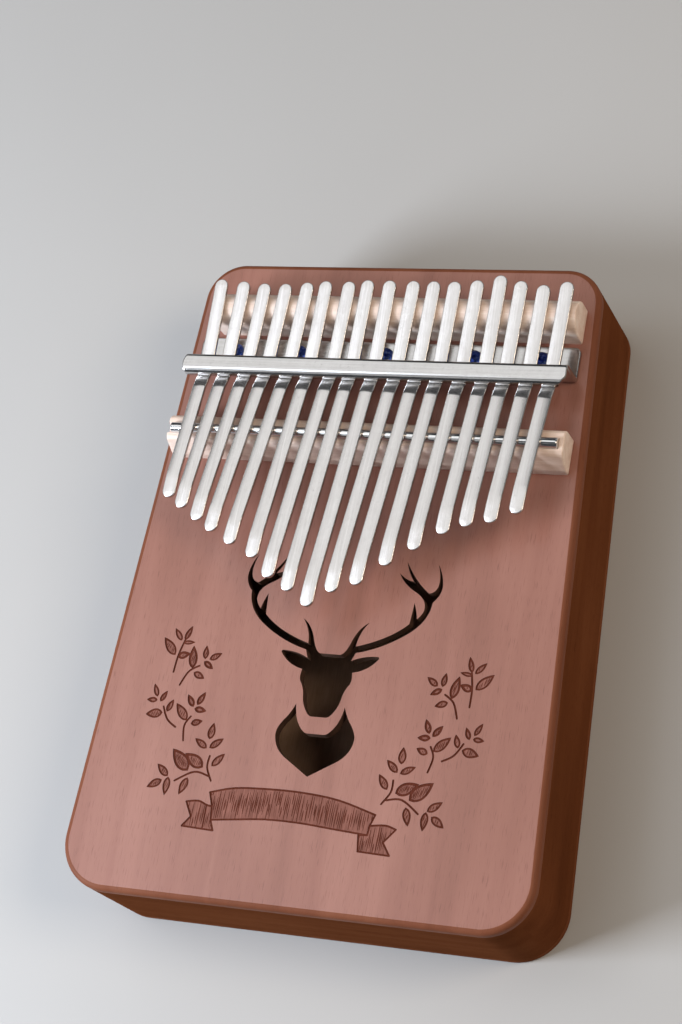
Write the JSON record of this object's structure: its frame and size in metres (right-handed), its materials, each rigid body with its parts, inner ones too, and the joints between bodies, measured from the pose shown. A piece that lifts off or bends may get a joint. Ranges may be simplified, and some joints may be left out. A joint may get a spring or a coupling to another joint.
{
  "type": "thumb piano",
  "caption": "Hollow wooden thumb piano with a stag-shaped sound hole and a row of plucked steel tines held over two maple bridges by a slotted bracket.",
  "frame": {"origin": "middle of the back plate's outer face, under the middle of the whole instrument's box", "axes": "+X to the player's right, +Y from the player's end to the far end of the tines, +Z out of the soundboard"},
  "size_m": [0.1336, 0.185, 0.05],
  "materials": {
    "soundboard_wood": "satin lacquer over pinkish-brown mahogany",
    "body_wood": "satin lacquer over dark red-brown mahogany",
    "back_wood": "satin lacquer over mahogany",
    "maple": "smooth sanded maple",
    "tine_steel": "satin nickel-plated spring steel",
    "rod_steel": "polished steel rod",
    "bracket_metal": "polished nickel plate",
    "screw_zinc": "blue zinc plate"
  },
  "bodies": {
    "case": {"soundboard": "soundboard_wood", "side_rim": "body_wood", "back_plate": "back_wood", "anchor_block": "maple", "rear_bridge": "maple", "front_bridge": "maple", "saddle_rod": "rod_steel", "pressure_bracket": "bracket_metal", "bracket_screws": "screw_zinc"},
    "tine_01": {"tine_01": "tine_steel"},
    "tine_02": {"tine_02": "tine_steel"},
    "tine_03": {"tine_03": "tine_steel"},
    "tine_04": {"tine_04": "tine_steel"},
    "tine_05": {"tine_05": "tine_steel"},
    "tine_06": {"tine_06": "tine_steel"},
    "tine_07": {"tine_07": "tine_steel"},
    "tine_08": {"tine_08": "tine_steel"},
    "tine_09": {"tine_09": "tine_steel"},
    "tine_10": {"tine_10": "tine_steel"},
    "tine_11": {"tine_11": "tine_steel"},
    "tine_12": {"tine_12": "tine_steel"},
    "tine_13": {"tine_13": "tine_steel"},
    "tine_14": {"tine_14": "tine_steel"},
    "tine_15": {"tine_15": "tine_steel"},
    "tine_16": {"tine_16": "tine_steel"},
    "tine_17": {"tine_17": "tine_steel"}
  },
  "joints": [
    {"name": "tine_01_press", "type": "hinge", "parent": "case", "child": "tine_01", "pos_m": [-0.05067, 0.0376, 0.0435], "axis": [1, 0, 0], "range_deg": [-1, 2.5], "stiffness_Nm_per_rad": 0.3},
    {"name": "tine_02_press", "type": "hinge", "parent": "case", "child": "tine_02", "pos_m": [-0.04518, 0.0376, 0.0435], "axis": [1, 0, 0], "range_deg": [-1, 2.5], "stiffness_Nm_per_rad": 0.3},
    {"name": "tine_03_press", "type": "hinge", "parent": "case", "child": "tine_03", "pos_m": [-0.03912, 0.0376, 0.0435], "axis": [1, 0, 0], "range_deg": [-1, 2.5], "stiffness_Nm_per_rad": 0.3},
    {"name": "tine_04_press", "type": "hinge", "parent": "case", "child": "tine_04", "pos_m": [-0.03334, 0.0376, 0.0435], "axis": [1, 0, 0], "range_deg": [-1, 2.5], "stiffness_Nm_per_rad": 0.3},
    {"name": "tine_05_press", "type": "hinge", "parent": "case", "child": "tine_05", "pos_m": [-0.02667, 0.0376, 0.0435], "axis": [1, 0, 0], "range_deg": [-1, 2.5], "stiffness_Nm_per_rad": 0.3},
    {"name": "tine_06_press", "type": "hinge", "parent": "case", "child": "tine_06", "pos_m": [-0.01994, 0.0376, 0.0435], "axis": [1, 0, 0], "range_deg": [-1, 2.5], "stiffness_Nm_per_rad": 0.3},
    {"name": "tine_07_press", "type": "hinge", "parent": "case", "child": "tine_07", "pos_m": [-0.01326, 0.0376, 0.0435], "axis": [1, 0, 0], "range_deg": [-1, 2.5], "stiffness_Nm_per_rad": 0.3},
    {"name": "tine_08_press", "type": "hinge", "parent": "case", "child": "tine_08", "pos_m": [-0.00717, 0.0376, 0.0435], "axis": [1, 0, 0], "range_deg": [-1, 2.5], "stiffness_Nm_per_rad": 0.3},
    {"name": "tine_09_press", "type": "hinge", "parent": "case", "child": "tine_09", "pos_m": [-0.00056, 0.0376, 0.0435], "axis": [1, 0, 0], "range_deg": [-1, 2.5], "stiffness_Nm_per_rad": 0.3},
    {"name": "tine_10_press", "type": "hinge", "parent": "case", "child": "tine_10", "pos_m": [0.00583, 0.0376, 0.0435], "axis": [1, 0, 0], "range_deg": [-1, 2.5], "stiffness_Nm_per_rad": 0.3},
    {"name": "tine_11_press", "type": "hinge", "parent": "case", "child": "tine_11", "pos_m": [0.01199, 0.0376, 0.0435], "axis": [1, 0, 0], "range_deg": [-1, 2.5], "stiffness_Nm_per_rad": 0.3},
    {"name": "tine_12_press", "type": "hinge", "parent": "case", "child": "tine_12", "pos_m": [0.01831, 0.0376, 0.0435], "axis": [1, 0, 0], "range_deg": [-1, 2.5], "stiffness_Nm_per_rad": 0.3},
    {"name": "tine_13_press", "type": "hinge", "parent": "case", "child": "tine_13", "pos_m": [0.02491, 0.0376, 0.0435], "axis": [1, 0, 0], "range_deg": [-1, 2.5], "stiffness_Nm_per_rad": 0.3},
    {"name": "tine_14_press", "type": "hinge", "parent": "case", "child": "tine_14", "pos_m": [0.03152, 0.0376, 0.0435], "axis": [1, 0, 0], "range_deg": [-1, 2.5], "stiffness_Nm_per_rad": 0.3},
    {"name": "tine_15_press", "type": "hinge", "parent": "case", "child": "tine_15", "pos_m": [0.03746, 0.0376, 0.0435], "axis": [1, 0, 0], "range_deg": [-1, 2.5], "stiffness_Nm_per_rad": 0.3},
    {"name": "tine_16_press", "type": "hinge", "parent": "case", "child": "tine_16", "pos_m": [0.04393, 0.0376, 0.0435], "axis": [1, 0, 0], "range_deg": [-1, 2.5], "stiffness_Nm_per_rad": 0.3},
    {"name": "tine_17_press", "type": "hinge", "parent": "case", "child": "tine_17", "pos_m": [0.05029, 0.0376, 0.0435], "axis": [1, 0, 0], "range_deg": [-1, 2.5], "stiffness_Nm_per_rad": 0.3}
  ]
}
